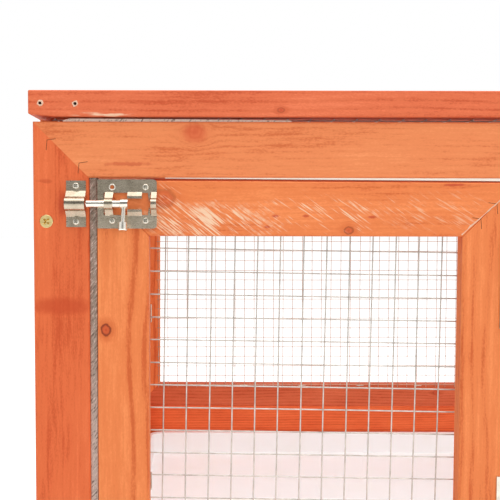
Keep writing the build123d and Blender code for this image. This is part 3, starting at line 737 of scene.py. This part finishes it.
def make_v_nails():
    """Bent steel wedges driven across the mitres, two to a corner, flush with the wood."""
    for name, body, corners, way in (
        ("frame_v_nails", "root", FRAME_WEDGES_PX, 1), ("door_v_nails", "door", DOOR_WEDGES_PX, -1),
    ):
        mesh = bmesh.new()
        for corner in corners:
            tip = at_pixel(*corner)
            for arm in WEDGE_ARMS:
                end = tip + Vector((arm.x * way, 0, arm.z)) * MM
                sunk = [point + Y * WEDGE_SUNK for point in (tip, end)]
                wire_along(mesh, sunk, Y, (end - tip).cross(Y).normalized(), WEDGE_R)
        new_piece(name, mesh, body, DARK)


def slab(name, body, corners, front, back, material, edge=0.0):
    """A flat piece with an upright outline of (x, z) corners, from y front to y back."""
    mesh = bmesh.new()
    faces = [[mesh.verts.new((x, y, z)) for x, z in corners] for y in (front, back)]
    mesh.faces.new(faces[0])
    mesh.faces.new(faces[1][::-1])
    for k in range(len(corners)):
        n = (k + 1) % len(corners)
        mesh.faces.new((faces[0][k], faces[1][k], faces[1][n], faces[0][n]))
    piece = new_piece(name, mesh, body, material)
    if edge:
        soften(piece, edge)
    return piece


SAWN_EDGE = 0.7 * MM
LID_WORN = 1.3 * MM
LID_WORN_LENGTHS = (13 * MM, 30 * MM)
LID_WORN_LAST = 0.1 * MM


def make_sawn_bars():
    """The bars that the photograph shows out of square: the door's head and latch stile, the lid's front."""
    lo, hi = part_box("door_top_rail")
    left, right = at_pixel(*HEAD_LEFT_PX), at_pixel(*HEAD_RIGHT_PX)
    slope = (right.z - left.z) / (right.x - left.x)
    inner_left = at_pixel(*STILE_EDGE_PX).x
    inner_right = hi.x - (hi.z - lo.z)
    level = left.z - slope * at_pixel(*HEAD_START_PX).x
    corner_left = level + slope * lo.x
    mitre_end = (level - hi.z + hi.x) / (1 - slope)
    outline = [(lo.x, corner_left), (inner_left, lo.z), (inner_right, lo.z),
               (mitre_end, level + slope * mitre_end)]
    rail = slab("door_top_rail_sawn", "door", outline, lo.y, hi.y, PALE_CREAM, SAWN_EDGE)
    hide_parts("door_top_rail")
    slo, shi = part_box("door_left_stile")
    foot = slo.z + (inner_left - slo.x)
    outline = [(slo.x, slo.z), (inner_left, foot), (inner_left, lo.z), (slo.x, corner_left)]
    stile = slab("door_left_stile_sawn", "door", outline, slo.y, shi.y, PALE_CREAM, SAWN_EDGE)
    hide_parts("door_left_stile")
    llo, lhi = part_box("lid_front_rail")
    steep, gentle = LID_WORN_LENGTHS
    outline = [(llo.x, llo.z + LID_WORN), (llo.x + steep, llo.z + LID_WORN_LAST), (llo.x + gentle, llo.z),
               (lhi.x, llo.z), (lhi.x, lhi.z), (llo.x, lhi.z)]
    lid = slab("lid_front_rail_sawn", "lid", outline, llo.y, lhi.y, PALE_CREAM, SAWN_EDGE)
    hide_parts("lid_front_rail")
    return {"door_top_rail": rail, "door_left_stile": stile, "lid_front_rail": lid}


STRIP_PLAY = 0.6 * MM
# How far behind the frame's front each strip starts and ends
GAP_FELT_DEEP, LID_FELT_DEEP, LATH_DEEP = (3.2 * MM, 11 * MM), (1.2 * MM, 5.5 * MM), (0.5 * MM, 8 * MM)


def make_strips():
    """Felt in the latch gap and under the lid, and a pale cream lath over the door's head."""
    stile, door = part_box("front_left_stile")[1].x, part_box("door_left_stile")[0].x
    low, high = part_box("front_bottom_rail")[1].z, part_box("front_top_rail")[0].z
    near, far = (FRONT + deep for deep in GAP_FELT_DEEP)
    outline = [(stile, low), (door - STRIP_PLAY, low), (door - STRIP_PLAY, high), (stile, high)]
    slab("latch_gap_felt", "root", outline, near, far, FELT, 0.3 * MM)
    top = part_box("front_top_rail")[1].z
    left, right = (at_pixel(*spot).x for spot in LID_FELT_PX)
    near, far = (FRONT + deep for deep in LID_FELT_DEEP)
    outline = [(left, top), (right, top), (right, top + 0.9 * MM), (left + 60 * MM, top + 1.5 * MM),
               (left + 4 * MM, top + 1.8 * MM), (left, top + 0.8 * MM)]
    slab("lid_gap_felt", "root", outline, near, far, PALE_FELT, 0.2 * MM)
    # A pale cream lath just behind the front, under the frame's top rail, fills the thin pale line over the
    # door's head
    left, right = at_pixel(*LATH_START_PX).x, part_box("door_top_rail")[1].x
    near, far = (FRONT + deep for deep in LATH_DEEP)
    outline = [(left, high), (left, high - 0.35 * MM), (right, high - 1.5 * MM), (right, high)]
    slab("door_head_lath", "root", outline, near, far, PALE_CREAM)


FILL_STEPS = 14
FILL_PROUD = 0.15 * MM
FILL_DEEP = 1.2 * MM


def make_mitre_marks():
    """Filler in the open mitre at the door's head, and the ring round the bolt plate's open hole."""
    start, end = (at_pixel(*spot) for spot in MITRE_FILL_PX)
    line = (end - start).normalized()
    side = line.cross(Y)
    mesh = bmesh.new()
    ragged = random.Random(8)
    upper, lower = [], []
    for k in range(FILL_STEPS + 1):
        t = (end - start).length * k / FILL_STEPS
        middle = start + line * t - Y * FILL_PROUD
        upper.append(mesh.verts.new(middle + side * ragged.uniform(0.15, 0.75) * MM))
        lower.append(mesh.verts.new(middle - side * ragged.uniform(0.0, 0.35) * MM))
    for k in range(FILL_STEPS):
        mesh.faces.new((upper[k], upper[k + 1], lower[k + 1], lower[k]))
    skirt = bmesh.ops.extrude_face_region(mesh, geom=mesh.faces[:])["geom"]
    for corner in (v for v in skirt if isinstance(v, bmesh.types.BMVert)):
        corner.co.y += FILL_DEEP
    new_piece("door_mitre_filler", mesh, "door", TORN)
    ring = bmesh.new()
    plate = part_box("bolt_plate")[0].x
    centre = Vector((plate + 8 * MM, FRONT - 1.0 * MM, BOLT_Z + 9 * MM))
    lathe(ring, centre, -Y, X, in_mm(HOLE_LIP), 24)
    new_piece("bolt_plate_hole_rim", ring, "door", ROD, smooth=60)


# The rear rails take the shaded brown tone: painted shade, darker than their lit wood
BAR_TONES = {
    "front_top_rail": "golden", "front_left_stile": "red", "rear_top_rail": "shaded_brown",
    "rear_bottom_rail": "shaded_brown", "rear_base_board": "ember", "door_top_rail": "orange",
    "door_left_stile": "orange", "door_right_stile": "orange", "lid_front_rail": "brick",
}
WOOD_WORDS = ("rail", "stile", "post", "board", "slat")
BAR_EDGE = 0.4 * MM
FLECK_LENGTHS = (2.6, 2.8, 3.2, 2.4, 9)
FLECK_RED = tone(198, 62, 40)
# Size of each scuffed place, its slant in degrees, how much is torn, and how pale
DOOR_HEAD_SCUFFS = (
    ((46, 5, 13), -38, 1.1, 0.95), ((10, 5, 14), -38, 1.0, 0.6), ((40, 5, 14), -30, 0.85, 0.45),
    ((46, 5, 14), -35, 0.8, 0.85), ((40, 5, 12), -35, 0.45, 0.6),
)


def longest(node):
    """The axis along which a bar is longest."""
    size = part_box(node)[1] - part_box(node)[0]
    return "XYZ"[max(range(3), key=lambda k: size[k])]


def knots_in_view():
    """Knots, stains and a painted shadow that the photograph shows, by the bar that has them."""
    def mark(spot, size, *looks):
        return at_pixel(*spot), tuple(length * MM for length in size), *looks

    lid_knot, lid_scuff = at_pixel(*LID_KNOT_PX, LID_FRONT), at_pixel(*LID_SCUFF_PX, LID_FRONT)
    large, small = (at_pixel(*spot) for spot in DOOR_HEAD_KNOTS_PX)
    return {
        "front_top_rail": dict(
            knots=[(at_pixel(*TOP_RAIL_KNOT_PX), 4.2 * MM, 1.25, 0.35)],
            stains_and_shade=[mark(TOP_RAIL_STREAK_PX, (17, 3, 1.5), DEEP_RED, 0.5, 1.3),
                    mark(TOP_RAIL_STAIN_PX, (9, 3, 7), tone(222, 96, 58), 0.55, 0.5)],
            rings=0.08, streaks=0.22),
        "front_left_stile": dict(
            stains_and_shade=[mark(LEFT_STILE_STAIN_PX, (24, 4, 6.5), tone(205, 78, 38), 0.75, 0.5),
                    mark(LEFT_STILE_SMEAR_PX, (5, 3, 1.6), tone(196, 76, 40), 0.5, 1.2),
                    # this patch by the keeper is a painted shadow of the bolt
                    mark(KEEPER_SHADOW_PX, (3, 3, 10), tone(200, 70, 40), 0.55, 0.6)],
            rings=0.16, streaks=0.55),
        "door_left_stile": dict(
            knots=[(at_pixel(*DOOR_STILE_KNOT_PX), 2.5 * MM, 1.2, 1.25)], rings=0.42, streaks=0.5),
        "door_right_stile": dict(rings=0.25, streaks=0.6),
        "door_top_rail": dict(
            knots=[(large, 5.0 * MM, 1.1, 0.6), (small, 2.0 * MM, 1.3, 0.9)],
            stains_and_shade=[mark(spot, (length, 3, 1.1), FLECK_RED, 0.7, 1.0)
                    for spot, length in zip(DOOR_HEAD_FLECKS_PX, FLECK_LENGTHS)],
            scuffs=[mark(spot, size, math.radians(slant), amount, strength)
                    for spot, (size, slant, amount, strength) in zip(DOOR_HEAD_SCUFFS_PX, DOOR_HEAD_SCUFFS)],
            rings=0.1, streaks=0.3),
        "lid_front_rail": dict(
            knots=[(lid_knot, 1.3 * MM, 1.5, 0.7)],
            scuffs=[(lid_scuff, (26 * MM, 5 * MM, 2.2 * MM), 0.0, 1.0, 0.9)],
            rings=0.22, streaks=0.5, hair=0.55),
    }


def dress_bars(sawn):
    """Each bar gets its own cut of wood: its heart, seed, tone, and a few knots."""
    draw = random.Random(20)
    in_view = knots_in_view()
    for number, name in enumerate(sorted(n for n in nodes if n.endswith(WOOD_WORDS))):
        dress_bar(sawn.get(name, nodes[name]), name, number, in_view.get(name), draw)
        if name not in sawn:
            soften(nodes[name], BAR_EDGE)


def dress_bar(piece, name, number, seen, draw):
    """Stains one bar; its random knots are drawn even where the photograph's own take their place."""
    axis = longest(name)
    lo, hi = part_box(name)
    middle, size = (lo + hi) / 2, hi - lo
    heart = middle + Vector((draw.uniform(-30, 30), draw.uniform(35, 90), draw.choice((-1, 1)) *
                             draw.uniform(20, 80))) * MM
    extra = dict(rings=draw.uniform(0.2, 0.42), streaks=draw.uniform(0.35, 0.7))
    random_knots = []
    for _ in range(draw.randint(1, 3)):
        spot = Vector([draw.uniform(lo[k] + 0.15 * size[k], hi[k] - 0.15 * size[k]) for k in range(3)])
        thin = min(range(3), key=lambda k: size[k])
        spot[thin] = (lo, hi)[draw.randint(0, 1)][thin]
        random_knots.append((spot, draw.uniform(1.6, 4.6) * MM, draw.uniform(1.0, 1.5),
                             draw.uniform(0.3, 1.2)))
    extra["knots"] = [] if seen else random_knots
    extra.update(seen or {})
    colour = STAIN_TONES[BAR_TONES.get(name) or draw.choice(("golden", "orange", "orange", "red"))]
    material = stained_wood(f"stained {name.replace('_', ' ')}", axis, colour, heart, seed=number * 0.37,
                            **extra)
    piece.data.materials.clear()
    piece.data.materials.append(material)


def dress_fittings():
    """Metal, plastic and soft edges for the fittings whose solids stay."""
    for name, material, edge in (
        ("bolt_plate", BOLT, 0.28), ("bolt_keeper", BOLT, 0.3), ("bolt_rod", ROD, 0.15),
        ("bolt_lever", ROD, 0.3), ("door_hinge_frame_leaves", HINGE, 0.2),
        ("door_hinge_door_leaves", HINGE, 0.2), ("door_hinge_pins", ROD, 0.2),
        ("lid_hinge_frame_leaves", HINGE, 0.2), ("lid_hinge_lid_leaves", HINGE, 0.2),
        ("lid_hinge_pins", ROD, 0.2), ("tray", TRAY, 0.5),
    ):
        piece = nodes[name]
        piece.data.materials.clear()
        piece.data.materials.append(material)
        soften(piece, edge * MM)


def soften(piece, width):
    """Rounds the sharp edges of a piece."""
    bevel = piece.modifiers.new("soft edges", "BEVEL")
    bevel.width = width
    bevel.segments = 3
    bevel.limit_method = "ANGLE"
    bevel.angle_limit = math.radians(35)
    bevel.use_clamp_overlap = True
    bevel.harden_normals = True


FLOOR_HALF = 9.0
FLOOR_DROP = 0.2 * MM
FLOOR_GLOW = 0.6


def seen_rays(g):
    """1 for rays from the camera, in reflections and through glass; and the mask of reflections alone."""
    path = g.add("ShaderNodeLightPath").outputs
    other = g.maths("MAXIMUM", path["Is Glossy Ray"], path["Is Transmission Ray"])
    return g.maths("MAXIMUM", path["Is Camera Ray"], other), path["Is Glossy Ray"]


def make_stage():
    """A pale floor that shows white to the camera and still takes the cage's shadow."""
    mesh = bmesh.new()
    bmesh.ops.create_grid(mesh, x_segments=2, y_segments=2, size=FLOOR_HALF)
    data = bpy.data.meshes.new("floor")
    mesh.to_mesh(data)
    mesh.free()
    floor = bpy.data.objects.new("floor", data)
    bpy.context.scene.collection.objects.link(floor)
    floor.location.z = -FLOOR_DROP
    material, g, shader = new_material("floor")
    seen, _ = seen_rays(g)
    g.put(shader["Base Color"], (0.8, 0.79, 0.78, 1.0))
    shader["Roughness"].default_value = 0.9
    shader["Specular IOR Level"].default_value = 0.1
    shader["Emission Color"].default_value = (1, 1, 1, 1)
    g.put(shader["Emission Strength"], g.maths("MULTIPLY", seen, FLOOR_GLOW))
    data.materials.append(material)


SKY = 0.62
# The dark side of the room, behind the camera, that only reflections show
ROOM_WAY = (0.0, -0.995, 0.1)
ROOM_EDGE = (0.62, 0.9)
ROOM_DIM = 0.86
# Name, place, aim, size in metres and power in watts
LAMPS = (
    ("lamp overhead", (-0.2, -0.75, 1.7), (-0.2, -0.1, 0.2), (2.2, 0.9), 14.0),
    ("lamp above", (0.1, 0.1, 2.0), (0.0, 0.0, 0.0), (1.4, 1.0), 10.5),
    ("lamp in front", (0.5, -2.4, 0.9), (-0.1, 0.0, 0.25), (1.6, 1.2), 7.0),
)


def make_light():
    """White surroundings and three broad soft lamps."""
    world = bpy.data.worlds.new("studio")
    bpy.context.scene.world = world
    world.use_nodes = True
    g = Graph(world.node_tree)
    seen, glossy = seen_rays(g)
    ground = world.node_tree.nodes["Background"]
    way = g.add("ShaderNodeTexCoord").outputs["Generated"]
    room = g.between(g.vectors("DOT_PRODUCT", way, ROOM_WAY), *ROOM_EDGE)
    dim = g.maths("MULTIPLY", g.maths("MULTIPLY", room, glossy), ROOM_DIM)
    g.put(ground.inputs["Color"], g.mix(dim, (1, 1, 1, 1), (0, 0, 0, 1)))
    g.put(ground.inputs["Strength"], g.maths("MULTIPLY_ADD", seen, 1 - SKY, SKY))
    for name, place, aim, size, power in LAMPS:
        lamp = bpy.data.lights.new(name, "AREA")
        lamp.shape = "RECTANGLE"
        lamp.size, lamp.size_y = size
        lamp.energy = power
        holder = bpy.data.objects.new(name, lamp)
        bpy.context.scene.collection.objects.link(holder)
        holder.location = place
        holder.rotation_euler = (Vector(aim) - Vector(place)).to_track_quat("-Z", "Y").to_euler()


set_camera()
make_stage()
make_light()
make_nets()
make_staples()
make_screws()
make_nails()
make_v_nails()
make_strips()
make_mitre_marks()
dress_bars(make_sawn_bars())
dress_fittings()

bpy.context.scene.view_settings.view_transform = "Standard"
